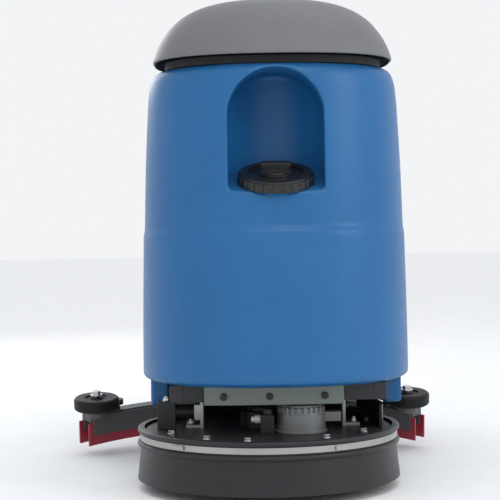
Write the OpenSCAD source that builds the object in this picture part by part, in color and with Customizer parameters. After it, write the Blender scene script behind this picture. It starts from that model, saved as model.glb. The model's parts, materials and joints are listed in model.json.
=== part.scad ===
// Compact floor scrubber with a driver's seat: disc brush deck in front, one-piece tank above it,
// steering column and footwell behind the tank, seat on a battery box, swept squeegee in the middle.
// Millimetres, +Z up, front of the machine towards -Y, floor at Z = 0.

/* [Overall] */
// Length from the skirt's front to the rear plate
overall_length = 1380; // [1300:10:1500]
// Sideways set of the squeegee head from the machine's centre plane
squeegee_offset = 50; // [0:5:80]

/* [Tank] */
// Half width of the tank at its foot
tank_half = 304; // [280:1:330]
// Height of the tank's underside
tank_low = 241; // [230:1:260]
// Height of the tank's top
tank_top = 931; // [880:1:960]
// Wall thickness of the moulded shells
wall = 6; // [4:0.5:8]
// Radius of the arched fill recess
recess_r = 102.5; // [90:0.5:115]
// Forward tilt of the recess ledge, degrees
ledge_tilt = 20.5; // [10:0.5:30]
// Radius of the fill cap
cap_r = 82.5; // [70:0.5:90]

/* [Lid] */
// Half width of the lid at its rim
lid_half = 266; // [250:1:275]
// Height of the lid's crown
lid_top = 1088; // [1060:1:1100]

/* [Deck] */
// Radius of the deck housing
deck_r = 281; // [250:1:300]
// Sideways place of the deck's centre
deck_x = -20; // [-30:1:0]
// Height of the deck's top plate
deck_z = 131; // [120:1:140]
// Radius of the scrubbing brush
brush_r = 262; // [230:1:270]
// Radius of the brush motor
motor_r = 54; // [45:1:60]

/* [Squeegee] */
// Radius of the swept blade line
sweep_r = 652; // [600:1:700]
// Half angle of the sweep, degrees
sweep_a = 42.3; // [38:0.1:45]
// Height of the blades
blade_h = 60; // [50:1:70]
// Diameter of the bumper rollers
bumper_d = 117; // [100:1:120]
// Lift angle of the raised squeegee, degrees
raised = 8.2; // [6:0.1:10]

/* [Wheels] */
// Diameter of the drive wheel
drive_d = 200; // [180:1:210]
// Diameter of the rear wheels
rear_d = 250; // [220:1:250]

/* [Driver] */
// Diameter of the steering wheel
wheel_d = 330; // [300:5:360]
// Tilt of the steering column, degrees
column_tilt = 30; // [20:1:40]
// Height of the seat plate
seat_z = 640; // [600:5:660]

/* [Hidden] */
$fn = 64;
deck_y = 297;
hinge_z = 170;
top_link_z = 215;
arm_front = 330;
arm_rear = 560;
tow_y = 620;
tow_z = 160;
sweep_y = 930 - sweep_r;
steer_y = 700;
axle_y = 1150;
wheel_y = 700;
wheel_z = 965;
lid_hinge_y = 480;
lid_hinge_z = 943;
cap_y = 122;
lip_y = 50;
lip_z = 651;
cap_z = lip_z + (cap_y - lip_y) * tan(ledge_tilt);

// Frames: the machine's own plane, the deck, the tilted ledge, the raised squeegee, the column.
module at_machine() translate([squeegee_offset, -overall_length / 2, 0]) children();
module at_deck() at_machine() translate([deck_x, deck_y, 0]) children();
module at_ledge() at_machine() translate([0, cap_y, cap_z]) rotate([ledge_tilt, 0, 0]) children();
module at_tow() at_machine() translate([0, tow_y, tow_z]) rotate([raised, 0, 0])
    translate([0, -tow_y, -tow_z]) children();
module at_squeegee() at_tow() translate([-squeegee_offset, 0, 0]) children();
module at_column() at_machine() translate([0, wheel_y, wheel_z]) rotate([-column_tilt, 0, 0])
    children();

// Shape helpers.
module box(a, b) translate(a) cube([b[0] - a[0], b[1] - a[1], b[2] - a[2]]);
module both_sides() { children(); mirror([1, 0, 0]) children(); }
module rod_x(x0, x1, r) translate([x0, 0, 0]) rotate([0, 90, 0]) cylinder(r = r, h = x1 - x0);
module rod_y(y0, y1, r) translate([0, y0, 0]) rotate([-90, 0, 0]) cylinder(r = r, h = y1 - y0);
module rod_z(z0, z1, r) translate([0, 0, z0]) cylinder(r = r, h = z1 - z0);
module ring_z(z0, z1, ro, ri) difference() { rod_z(z0, z1, ro); rod_z(z0 - 1, z1 + 1, ri); }
module ring_x(x0, x1, ro, ri) difference() { rod_x(x0, x1, ro); rod_x(x0 - 1, x1 + 1, ri); }
module hex_z(z0, z1, af) translate([0, 0, z0]) cylinder(r = af / sqrt(3), h = z1 - z0, $fn = 6);
// Rounded rectangle made of exact arcs.
module round_rect(a, b, r) {
    translate([a[0] + r, a[1]]) square([b[0] - a[0] - 2 * r, b[1] - a[1]]);
    translate([a[0], a[1] + r]) square([b[0] - a[0], b[1] - a[1] - 2 * r]);
    for (x = [a[0] + r, b[0] - r], y = [a[1] + r, b[1] - r]) translate([x, y]) circle(r = r);
}
// Extrudes a (y, z) profile along X.
module along_x(x0, x1) translate([x0, 0, 0]) rotate([90, 0, 90]) linear_extrude(x1 - x0) children();
// Flat bar of (y, z) between two eyes, along X.
module link_bar(x0, x1, y0, y1, z, r, hole) along_x(x0, x1) difference() {
    union() {
        translate([y0, z]) circle(r = r);
        translate([y1, z]) circle(r = r);
        translate([y0, z - r]) square([y1 - y0, 2 * r]);
    }
    for (y = [y0, y1]) translate([y, z]) circle(r = hole);
}

// Superelliptic plan outline, widest at yw, with its own exponents before and behind that line.
function bent(t, e) = sign(t) * pow(abs(t), 2 / e);
function outline(w, yf, yw, yb, nf, nb, n = 56) = [for (i = [0 : n - 1]) let (a = 360 * i / n,
    s = sin(a), c = cos(a), e = s < 0 ? nf : nb)
    [w * bent(c, e), yw + (s < 0 ? yw - yf : yb - yw) * bent(s, e)]];
// Tank section heights: z, half width, front, widest line. The front steps back above the crease.
tank_levels = [[tank_low, tank_half - 16, 68, 360], [tank_low + 5, tank_half - 7, 57, 360],
    [tank_low + 18, tank_half, 50, 360], [400, tank_half - 2, 50, 355],
    [568, tank_half - 6, 52, 345], [584, tank_half - 9, 60, 340], [720, tank_half - 14, 60, 335],
    [860, tank_half - 22, 62, 325], [900, tank_half - 27, 64, 322], [920, tank_half - 33, 69, 320],
    [tank_top, tank_half - 43, 80, 318]];
// Closed skin through a stack of outlines, one per height.
module skin(rings, heights) let (n = len(rings[0]), m = len(rings)) polyhedron(
    points = [for (j = [0 : m - 1], i = [0 : n - 1]) [rings[j][i][0], rings[j][i][1], heights[j]]],
    faces = concat([[for (i = [0 : n - 1]) i]], [[for (i = [n - 1 : -1 : 0]) (m - 1) * n + i]],
        [for (j = [0 : m - 2], i = [0 : n - 1]) [j * n + i, (j + 1) * n + i, j * n + (i + 1) % n]],
        [for (j = [0 : m - 2], i = [0 : n - 1])
            [j * n + (i + 1) % n, (j + 1) * n + i, (j + 1) * n + (i + 1) % n]]));
// Keeps a curved body and its cuts together as one mesh.
module one_mesh() resize([0, 0, 0]) children();
module tank_loft(g) skin([for (l = tank_levels)
    outline(l[1] - g, l[2] + g, l[3], 540 - g, 2.3, 7)], [for (l = tank_levels) l[0]]);
// Arched recess with a round back wall and a tilted ledge, grown by g.
module recess(g) intersection() {
    translate([0, 300, 0]) rotate([90, 0, 0]) linear_extrude(400) union() {
        translate([0, 920 - recess_r]) circle(r = recess_r + g);
        translate([-recess_r - g, 600]) square([2 * (recess_r + g), 320 - recess_r]);
    }
    union() {
        translate([-recess_r - g - 2, -60, 600]) cube([2 * (recess_r + g + 2), cap_y + 61, 400]);
        translate([0, cap_y, 600]) rotate([0, 0, 2]) cylinder(r = recess_r + g + 0.6, h = 400, $fn = 56);
    }
    translate([0, lip_y, lip_z - g]) rotate([ledge_tilt, 0, 0]) translate([-200, -200, 0])
        cube([400, 600, 600]);
}
module pocket(g) translate([0, 0, 700 - g]) linear_extrude(400)
    round_rect([-170 - g, 252 - g], [170 + g, 404 + g], 50 + g);

// One-piece tank with the fill recess, its blind neck, the top compartment and two side legs.
module solution_tank() color("#386fa3") at_machine() one_mesh() {
    difference() {
        union() {
            difference() {
                tank_loft(0);
                recess(0);
                pocket(0);
                // hollow inside, kept clear of the recess and the compartment
                difference() {
                    intersection() {
                        tank_loft(wall);
                        box([-400, 0, tank_low + wall], [400, 600, tank_top - wall]);
                    }
                    recess(wall);
                    pocket(wall);
                    translate([0, cap_y, cap_z]) rotate([ledge_tilt, 0, 0]) rod_z(-46, 20, 76);
                }
            }
            translate([0, cap_y, cap_z]) rotate([ledge_tilt, 0, 0]) rod_z(-3, 12, 70);
            both_sides() box([246, 330, 176], [288, 480, tank_low + 3]);
        }
        translate([0, cap_y, cap_z]) rotate([ledge_tilt, 0, 0]) rod_z(-38, 30, 62);
        // overflow port from the compartment into the hollow
        translate([3, 0, 880]) rod_y(390, 430, 8);
        both_sides() box([251, 336, 170], [283, 474, tank_low - 8]);
    }
}
// Twist cap with ribbed rim and a wing grip.
module fill_cap() color("#17181a") at_ledge() difference() {
    union() {
        rod_z(1, 20, cap_r);
        rod_z(20, 24, cap_r - 6);
        box([-32, -9, 20], [32, 9, 46]);
        rod_z(20, 28, 24);
    }
    rod_z(0, 14, 72);
    ring_z(17, 30, 60, 34);
    for (i = [0 : 23]) rotate([0, 0, 15 * i + 7.5]) translate([cap_r + 1.5, 0, 0])
        rod_z(-1, 26, 4);
    for (s = [-1, 1]) translate([s * 32, 0, 33]) rotate([90, 0, 0])
        cylinder(r = 5, h = 40, center = true);
}
module rim_outline(g) polygon(outline(lid_half - g, 58 + g, 264, 470 - g, 2.4, 3.4));
// Dark seal between tank and lid.
module lid_gasket() color("#141414") at_machine() translate([0, 0, tank_top])
    linear_extrude(947 - tank_top) difference() { rim_outline(26); rim_outline(44); }
lid_levels = [[947.4, 0], [962, -3], [978, -9], [996, -18], [1012, -29], [1028, -42],
    [1043, -59], [1057, -81], [1068, -107], [1077, -140], [1084, -185], [lid_top, -235]];
module lid_loft(g) skin([for (l = lid_levels) let (w = lid_half + l[1] - g, k = w / lid_half)
    outline(w, 264 - 206 * k, 264, 264 + 206 * k, 2.4, 3.4)], [for (l = lid_levels) l[0] - g]);
// Domed lid with two hinge lugs behind.
module top_cover() color("#808286") at_machine() one_mesh() difference() {
    union() {
        difference() {
            lid_loft(0);
            lid_loft(4);
        }
        both_sides() translate([70, 0, 0]) {
            translate([0, lid_hinge_y, lid_hinge_z]) rod_x(0, 20, 8);
            box([0, 460, 948], [20, lid_hinge_y, 951]);
        }
    }
    translate([-120, lid_hinge_y, lid_hinge_z]) rod_x(0, 240, 4.05);
}
module lid_hinge() color("#2a2b2d") at_machine() both_sides() {
    difference() {
        union() for (x = [60, 90.5]) {
            translate([x, lid_hinge_y, lid_hinge_z]) rod_x(0, 9.5, 8);
            box([x, lid_hinge_y - 8, tank_top], [x + 9.5, lid_hinge_y + 8, lid_hinge_z]);
        }
    }
    translate([60, lid_hinge_y, lid_hinge_z]) rod_x(0, 40, 4);
    box([60, lid_hinge_y + 8, tank_top], [100, lid_hinge_y + 22, tank_top + 4]);
}

// Frame.
module chassis_rails() color("#1b1c1e") at_machine() both_sides() {
    box([208, 160, 203], [236, 868, tank_low]);
    box([130, 900, 203], [158, 1372, tank_low]);
}
module cross_members() color("#1b1c1e") at_machine() {
    box([-208, 160, 203], [208, 190, tank_low]);
    box([-208, 580, 203], [208, 612, tank_low]);
    difference() {
        box([-208, 640, 227], [208, 760, tank_low]);
        translate([0, steer_y, 0]) rod_z(220, 250, 15.06);
    }
    box([-236, 868, 203], [236, 900, tank_low]);
}
// Clevis plates and hinge pins for the deck links and the squeegee frame.
module pivot_brackets() color("#26272a") at_machine() {
    for (s = [[164, 170, 155.6], [-190, -184, -175.6]]) {
        along_x(s[0], s[1]) polygon([[545, 155], [580, 155], [580, 232], [545, 232]]);
        for (z = [hinge_z, top_link_z]) translate([0, arm_rear, z])
            rod_x(min(s[0], s[2]), max(s[1], s[2]), 5);
    }
    both_sides() {
        along_x(126, 134) union() {
            translate([tow_y, tow_z]) circle(r = 16);
            polygon([[tow_y - 16, tow_z], [tow_y + 16, tow_z], [tow_y + 16, 203], [584, 203]]);
        }
        translate([0, tow_y, tow_z]) rod_x(108, 126, 7);
    }
}
module front_plate() color("#7d8681") at_machine() translate([-10, 0, 0]) {
    translate([0, 0, 197]) linear_extrude(41) polygon(concat(
        [for (i = [-10 : 10]) [15.2 * i, 139 + 0.09 * i * i]], [[152, 154], [-152, 154]]));
    for (x = [-120, 120]) box([x - 12, 154, 206], [x + 12, 160, 234]);
}
// Hex bolt heads of the frame.
module frame_bolts() color("#2c2d2f") at_machine() {
    for (x = [-120, -20, 100]) translate([x, 0, 216]) rotate([90, 0, 0]) translate([0, 0, -142])
        union() { rod_z(2, 4.5, 8); hex_z(4.5, 9, 12); }
    both_sides() for (y = [250, 480, 820]) translate([236, y, 222]) rotate([0, 90, 0])
        union() { rod_z(0, 1.5, 8); hex_z(1.5, 7, 12); }
}
// Floor plate with the pedal's ears and pin.
module footwell_floor() color("#232427") at_machine() {
    difference() {
        box([-262, 546, tank_low], [262, 900, 247]);
        translate([0, steer_y, 0]) rod_z(230, 250, 24);
    }
    for (x = [107, 186.5]) box([x, 768, 247], [x + 6.5, 784, 272]);
    translate([0, 776, 264]) rod_x(107, 193, 4);
}
// Ribbed rubber mat.
module footwell_mat() color("#1a1a1a") at_machine() {
    difference() {
        box([-250, 692, 247], [250, 894, 250]);
        translate([0, steer_y, 0]) rod_z(230, 260, 24);
        box([102, 640, 240], [198, 792, 260]);
    }
    for (i = [-15 : 15]) box([16 * i - 3, i < 6 || i > 12 ? 730 : 796, 250],
        [16 * i + 3, 886, 251.5]);
}
module dash_console() color("#222326") at_machine() difference() {
    along_x(-150, 150) polygon([[546, 247], [546, 896], [556, 906], [585, 915.95], [589.4, 913.4],
        [684.6, 858.4], [686, 848], [646, 700], [622, 560], [616, 247]]);
    along_x(-145, 145) polygon([[551, 252], [551, 890], [560, 902], [585, 908], [676, 855.5],
        [640, 700], [616, 560], [610, 252]]);
    translate([0, wheel_y, wheel_z]) rotate([-column_tilt, 0, 0]) rod_z(-140, -90, 18);
}
// Raised collar round the stop button, then the screen with its keypad.
module dash_display() color("#0d1114") at_column() {
    box([-128, 2, -100], [-58, 36, -96]);
    for (i = [0 : 3]) box([-126 + 17 * i, -16, -100], [-113 + 17 * i, -6, -98]);
    translate([96, 20, 0]) ring_z(-100, -92, 19, 14.6);
}
module steering_column() color("#1c1d1f") at_column() {
    difference() {
        union() { rod_z(-130, -22, 18); rod_z(-100, -94, 26); }
        rod_z(-70, 0, 10.06);
    }
}
// Three-spoke wheel with its shaft.
module steering_wheel() color("#111214") at_column() {
    difference() {
        union() {
            rotate_extrude() translate([wheel_d / 2 - 13, 0]) circle(r = 13);
            for (a = [30, 150, 270]) rotate([0, 0, a]) box([16, -14, -14], [wheel_d / 2 - 12, 14, -5]);
            rod_z(-21, -2, 30);
        }
        rod_z(-10, 20, 22.4);
    }
    rod_z(-68, -21, 10);
}
module horn_button() color("#2f3134") at_column() { rod_z(-7.5, 3, 22); rod_z(3, 5, 19); }
module e_stop() color("#b3121a") at_column() translate([96, 20, 0]) {
    rod_z(-96, -82, 14);
    rod_z(-88, -80, 17);
}
module key_switch() color("#9a9c9f") at_column() translate([96, -24, 0]) {
    rod_z(-99.6, -96, 9);
    box([-2, -7, -96], [2, 7, -78]);
}
// Rocking plate hinged at the heel.
module drive_pedal() color("#1d1e20") at_machine() translate([150, 776, 264]) rotate([-18, 0, 0]) {
    difference() {
        union() {
            box([-36, -126, -3], [36, 0, 3]);
            rod_x(-36, 36, 6);
            for (i = [0 : 6]) box([-32, -120 + 16 * i, 3], [32, -114 + 16 * i, 5]);
        }
        rod_x(-40, 40, 4.05);
    }
}

// Battery box, open on top, with the wheels' room cut from its sides.
module rear_body() color("#2f6496") at_machine() difference() {
    union() {
        translate([0, 0, 262]) linear_extrude(seat_z - 262.5)
            round_rect([-266, 902], [266, 1370], 40);
        box([-158, 902, tank_low], [158, 1364, 264]);
    }
    translate([0, 0, 268]) linear_extrude(400) round_rect([-260, 908], [260, 1364], 34);
    box([-152, 908, 247], [152, 1358, 270]);
    // troughs for the seat's hinge knuckles
    both_sides() translate([0, 900, seat_z]) rod_x(159, 201, 5.4);
}
module batteries() color("#26282b") at_machine() for (i = [0 : 1], j = [0 : 1]) {
    x = -236 + 240 * i;
    y = 922 + 216 * j;
    difference() {
        union() {
            box([x, y, 268], [x + 232, y + 208, 520]);
            box([x - 2, y - 2, 500], [x + 234, y + 210, 512]);
        }
        for (k = [0 : 1]) box([x + 10, y + 16 + 90 * k, 514], [x + 222, y + 96 + 90 * k - 10, 521]);
    }
    for (k = [0 : 1]) translate([x + 26 + 180 * k, y + 104, 0]) rod_z(514, 534, 8);
}
module rear_axle() color("#3a3b3e") at_machine() {
    both_sides() difference() {
        box([136, 1130, 104], [144, 1170, 203]);
        translate([0, axle_y, rear_d / 2]) rod_x(100, 200, 14);
    }
    translate([0, axle_y, rear_d / 2]) {
        rod_x(-190, 190, 14);
        both_sides() { rod_x(190, 256, 12); rod_x(256, 260, 17); }
    }
}
module tyre(x0, x1, ro, ri, e) rotate([0, 90, 0]) rotate_extrude() polygon([[ri, x0], [ro - e, x0],
    [ro - 1, x0 + e], [ro, x0 + 2.4 * e], [ro, x1 - 2.4 * e], [ro - 1, x1 - e], [ro - e, x1],
    [ri, x1]]);
module rim(x0, x1, ro, bore) difference() {
    union() {
        ring_x(x0, x1, ro, ro - 8);
        rod_x(x0 + 22, x1 - 22, ro);
        rod_x(x0, x1, 30);
    }
    rod_x(x0 - 1, x1 + 1, bore);
    for (a = [0 : 60 : 300]) rotate([a, 0, 0]) translate([0, 0, 56]) rod_x(x0, x1, 14);
}
module rear_tyre_left() color("#3b3c3e") at_machine() translate([0, axle_y, rear_d / 2])
    tyre(-255, -195, rear_d / 2, 84, 6);
module rear_tyre_right() color("#3b3c3e") at_machine() translate([0, axle_y, rear_d / 2])
    tyre(195, 255, rear_d / 2, 84, 6);
module rear_rim_left() color("#a9abad") at_machine() translate([0, axle_y, rear_d / 2])
    rim(-255, -191, 84, 12.06);
module rear_rim_right() color("#a9abad") at_machine() translate([0, axle_y, rear_d / 2])
    rim(191, 255, 84, 12.06);
// Rear cross plate with four accessory holes.
module rear_plate() color("#1b1c1e") at_machine() difference() {
    box([-158, 1372, 181], [158, 1380, tank_low]);
    for (x = [-90, 90], z = [196, 226]) translate([x, 0, z]) rod_y(1360, 1390, 4.5);
}
// Drain pipe behind the tank.
module drain_spout() color("#17181a") at_machine() translate([215, 0, 330]) difference() {
    union() { rod_y(526, 546, 30); rod_y(546, 590, 19); }
    rod_y(552, 600, 15);
}

// Deck, in the deck's own frame.
module deck_housing() color("#292d2f") at_deck() {
    difference() {
        rotate_extrude() polygon([[16, deck_z - 4], [16, deck_z], [deck_r - 5, deck_z],
            [deck_r - 1.5, deck_z - 1.5], [deck_r, deck_z - 5], [deck_r, 98], [deck_r - 4, 98],
            [deck_r - 4, deck_z - 4]]);
    }
    // raised wall at the right, stepping down to run under the lift arms behind
    rotate([0, 0, -14]) rotate_extrude(angle = 47) translate([254, deck_z - 2])
        square([6, 52]);
    rotate([0, 0, 29]) rotate_extrude(angle = 137) translate([255, deck_z - 2])
        square([4, 24]);
}
module deck_skirt() color("#34383a") at_deck() {
    rotate_extrude() polygon([[deck_r, 137], [deck_r + 9, 137], [deck_r + 9, 98],
        [deck_r + 8, 94], [deck_r + 16, 22.5], [deck_r + 10, 22.5], [deck_r, 94]]);
    for (z = [131, 102]) rotate_extrude() translate([deck_r + 9.5, z]) circle(r = 6);
}
module skirt_band() color("#b2b2b0") at_deck() {
    ring_z(111, 124, deck_r + 10.5, deck_r + 9);
    for (a = [228, 300]) rotate([0, 0, a]) box([deck_r + 10.2, -14, 113], [deck_r + 14.5, 14, 122]);
}
module brush_motor() color("#b9bbbd") at_machine() translate([50, 203, 0]) {
    difference() {
        union() {
            rod_z(deck_z, 138, motor_r + 4);
            rod_z(138, 172, motor_r);
            rod_z(172, 188, motor_r - 1.5);
            rod_z(188, 192, motor_r - 4);
            rod_z(192, 195, motor_r - 12);
        }
        for (i = [0 : 23]) rotate([0, 0, 15 * i]) box([motor_r - 6, -3.4, 176], [motor_r + 5, 3.4, 186]);
    }
    box([50, -8, 152], [88, 26, 174]);
}
module gearbox() color("#1d1f21") at_machine() difference() {
    union() {
        translate([deck_x, deck_y, 0]) { rod_z(deck_z, 168, 62); rod_z(168, 178, 46); }
        linear_extrude(148) polygon([[12, 321], [-52, 273], [-7, 213], [57, 261]]);
    }
    box([-200, 0, -10], [200, 500, deck_z]);
    translate([50, 203, 0]) rod_z(0, 200, motor_r + 4);
    translate([deck_x, deck_y, 0]) rod_z(100, 153, 12.06);
}
module water_valve() color("#17181a") at_machine() {
    box([-40, 166, 151], [-10, 200, 172]);
    translate([-23, 183, 0]) rod_z(172, 184, 11);
    along_x(-40, -10) polygon([[166, deck_z], [206, deck_z], [206, 134], [170, 134], [170, 151],
        [166, 151]]);
}
module valve_nozzle() color("#d9d9d4") at_machine() translate([0, 183, 161]) {
    rod_x(-52, -40, 9);
    translate([-52, 0, 0]) rod_x(-8, 0, 6);
}
module deck_hangers() color("#9a9c9d") at_machine() {
    for (s = [[146, 154, 165, 154, 186], [-174, -166, -185, -206, -174]]) {
        along_x(s[0], s[1]) polygon([[262, deck_z], [312, deck_z], [345, 158], [345, 223],
            [318, 228], [262, 228]]);
        box([s[3], 268, deck_z], [s[4], 306, deck_z + 8]);
        for (z = [hinge_z, top_link_z]) translate([0, arm_front, z])
            rod_x(min(s[0], s[2]), max(s[1], s[2]), 5);
    }
    box([-187, 262, 151], [-174, 296, 186]);
}
// Hex bolts of the deck: rim, feet and brackets.
module deck_bolts() color("#b7b8b6") {
    at_deck() for (a = [15, 45, 135, 165, 205, 235, 258, 300, 330]) rotate([0, 0, a])
        translate([238, 0, deck_z]) union() { rod_z(0, 1.6, 9); hex_z(1.6, 8, 13); }
    at_machine() for (p = [[174, 287, 139], [-196, 287, 139], [-250, 279, 193]]) translate(p)
        union() { rod_z(0, 1.6, 9); hex_z(1.6, 8, 13); rod_z(8, 12, 4); }
}
module float_bracket() color("#1b1d1f") at_machine() {
    along_x(-270, -229) polygon([[262, deck_z], [296, deck_z], [296, 193], [262, 193]]);
}
module float_bush() color("#3b3d3f") at_machine() translate([0, 279, 168.5]) {
    rod_x(-229, -187, 16.5);
}
module lower_lift_arms() color("#2b2c2f") at_machine() for (x = [156, -182])
    link_bar(x, x + 6, arm_front, arm_rear, hinge_z, 12, 5.05);
module upper_lift_arms() color("#2b2c2f") at_machine() for (x = [156, -182])
    link_bar(x, x + 6, arm_front, arm_rear, top_link_z, 12, 5.05);
module brush_block() color("#30363b") at_deck() {
    ring_z(62, 78, brush_r - 8, 60);
    difference() { rod_z(70, 92, 66); for (a = [0 : 60 : 300]) rotate([0, 0, a]) translate([44, 0, 84]) cylinder(r = 6, h = 20); }
    rod_z(92, 150, 12);
}
module brush_bristles() color("#3d5a73") at_deck() rotate_extrude()
    polygon([[120, 62], [110, 21.5], [brush_r + 6, 21.5], [brush_r - 10, 62]]);

// Drive unit.
module steer_fork() color("#2a2b2e") at_machine() translate([0, steer_y, 0]) {
    rod_z(206, 220, 58);
    rod_z(220, 240.5, 15);
    both_sides() along_x(37, 45) polygon([[-32, 206], [32, 206], [22, 84], [-22, 84]]);
    translate([0, 0, drive_d / 2]) rod_x(-45, 45, 10);
}
module drive_tyre() color("#2e2f31") at_machine() translate([0, steer_y, drive_d / 2])
    tyre(-30, 30, drive_d / 2, 76, 5);
module drive_hub() color("#8d8f92") at_machine() translate([0, steer_y, drive_d / 2]) difference() {
    union() { rod_x(-28, 28, 76); rod_x(-34, 34, 40); }
    rod_x(-40, 40, 10.06);
    for (a = [0 : 45 : 315]) rotate([a, 0, 0]) translate([0, 0, 58]) {
        rod_x(22, 30, 5);
        rod_x(-30, -22, 5);
    }
}

// Squeegee, drawn lowered on the floor and swung up by its frame.
module arc_wall(r0, r1, z0, z1, a) translate([0, sweep_y, z0]) rotate([0, 0, 90 - a])
    rotate_extrude(angle = 2 * a, $fn = 240) translate([r0, 0]) square([r1 - r0, z1 - z0]);
module tow_frame() color("#2b2d30") at_tow() difference() {
    union() {
        both_sides() along_x(109, 121) union() {
            translate([tow_y, tow_z]) circle(r = 15);
            polygon([[tow_y, 175], [tow_y, 145], [760, 128], [880, 104], [880, 118], [770, 152]]);
        }
        box([-109, 846, 104], [109, 880, 112]);
    }
    translate([0, tow_y, tow_z]) rod_x(-150, 150, 7.05);
    translate([0, 862, 0]) rod_z(90, 130, 9.06);
}
module squeegee_body() color("#434343") at_squeegee() {
    translate([0, sweep_y, 0]) rotate([0, 0, 90 - sweep_a + 1])
        rotate_extrude(angle = 2 * sweep_a - 2, $fn = 240) polygon([
            [sweep_r - 18, 28], [sweep_r - 14, 28], [sweep_r - 14, 62], [sweep_r + 14, 62],
            [sweep_r + 14, 36], [sweep_r + 18, 36], [sweep_r + 18, 80], [sweep_r - 18, 80]]);
    box([10, 840, 78], [90, 938, 94]);
    translate([50, 862, 0]) { rod_z(94, 103.6, 20); rod_z(103.6, 122, 9); rod_z(112.4, 120, 16); }
    for (s = [-1, 1]) translate([s * 404, 758, 0]) rod_z(77.5, 92, 27);
    for (s = [-1, 1]) translate([0, sweep_y, 80]) rotate([0, 0, 90 - s * 38.6])
        translate([sweep_r - 15, -23, -4]) cube([30, 46, 15]);
}
module squeegee_front_blade() color("#5c1a26") at_squeegee()
    arc_wall(sweep_r - 22, sweep_r - 18, 1, 1 + blade_h, sweep_a);
module squeegee_rear_blade() color("#5c1a26") at_squeegee()
    arc_wall(sweep_r + 18, sweep_r + 22, 1, 1 + blade_h, sweep_a);
module blade_clamps() color("#3c3c3d") at_squeegee() {
    arc_wall(sweep_r - 26, sweep_r - 22, 26, 77, sweep_a - 1.2);
    arc_wall(sweep_r + 22, sweep_r + 26, 34, 77, sweep_a - 1.2);
}
module squeegee_knobs() color("#1a1a1b") at_squeegee()
    for (a = [-33, -20, 20, 33]) translate([0, sweep_y, 0]) rotate([0, 0, 90 - a])
        translate([sweep_r, 0, 0]) { rod_z(80, 92, 6); rod_z(92, 106, 15); box([-19, -4, 94], [19, 4, 104]); }
module suction_port() color("#1f2022") at_squeegee() translate([-24, 930, 0]) difference() {
    union() { rod_z(80, 86, 15); rod_z(86, 128, 15); }
    rod_z(88, 140, 12);
}
module roller_axles() color("#c9cacb") at_squeegee() for (s = [-1, 1]) translate([s * 404, 758, 0]) {
    rod_z(92, 134, 8);
    rod_z(92, 97, 14);
    rod_z(134, 137, 16);
    hex_z(137, 146, 19);
}
module bumper(s) at_squeegee() translate([s * 404, 758, 97.4]) difference() {
    rotate_extrude() polygon([[8.06, 0], [bumper_d / 2 - 5, 0], [bumper_d / 2, 5],
        [bumper_d / 2, 27], [bumper_d / 2 - 5, 32], [30, 32], [28, 28], [18, 28], [16, 32],
        [8.06, 32]]);
}
module roller_left() color("#1d1e1f") bumper(-1);
module roller_right() color("#1d1e1f") bumper(1);

// Seat.
module seat_plate() color("#26272a") at_machine() {
    difference() {
        translate([0, 0, seat_z]) linear_extrude(10) round_rect([-266, 900], [266, 1372], 40);
    }
    both_sides() {
        along_x(150, 158) polygon([[1290, 650], [1350, 650], [1372, 900], [1360, 900],
            [1330, 700], [1290, 660]]);
        translate([0, 900, seat_z]) rod_x(160, 200, 5);
    }
}
module seat_cushion() color("#1c1d20") at_machine() {
    translate([0, 0, 650]) linear_extrude(62) round_rect([-222, 910], [222, 1272], 46);
    translate([0, 0, 712]) linear_extrude(10) round_rect([-214, 918], [214, 1264], 40);
}
module seat_back() color("#1c1d20") at_machine() translate([0, 1306, 690]) rotate([-6, 0, 0])
    rotate([90, 0, 0]) translate([0, 0, -30]) linear_extrude(62) round_rect([-146, 0], [146, 350], 60);

chassis_rails();
cross_members();
pivot_brackets();
front_plate();
frame_bolts();
solution_tank();
lid_gasket();
lid_hinge();
footwell_floor();
footwell_mat();
dash_console();
dash_display();
steering_column();
rear_body();
batteries();
rear_axle();
drain_spout();
rear_plate();
deck_housing();
deck_skirt();
skirt_band();
brush_motor();
gearbox();
water_valve();
valve_nozzle();
deck_hangers();
deck_bolts();
float_bracket();
float_bush();
lower_lift_arms();
upper_lift_arms();
brush_block();
brush_bristles();
tow_frame();
squeegee_body();
squeegee_front_blade();
squeegee_rear_blade();
blade_clamps();
squeegee_knobs();
suction_port();
roller_axles();
roller_left();
roller_right();
steer_fork();
drive_tyre();
drive_hub();
rear_tyre_left();
rear_rim_left();
rear_tyre_right();
rear_rim_right();
steering_wheel();
horn_button();
fill_cap();
top_cover();
seat_plate();
seat_cushion();
seat_back();
drive_pedal();
e_stop();
key_switch();
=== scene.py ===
import json
import math
import random

import bmesh
import bpy
from mathutils import Matrix, Quaternion, Vector
from mathutils.bvhtree import BVHTree


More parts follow.
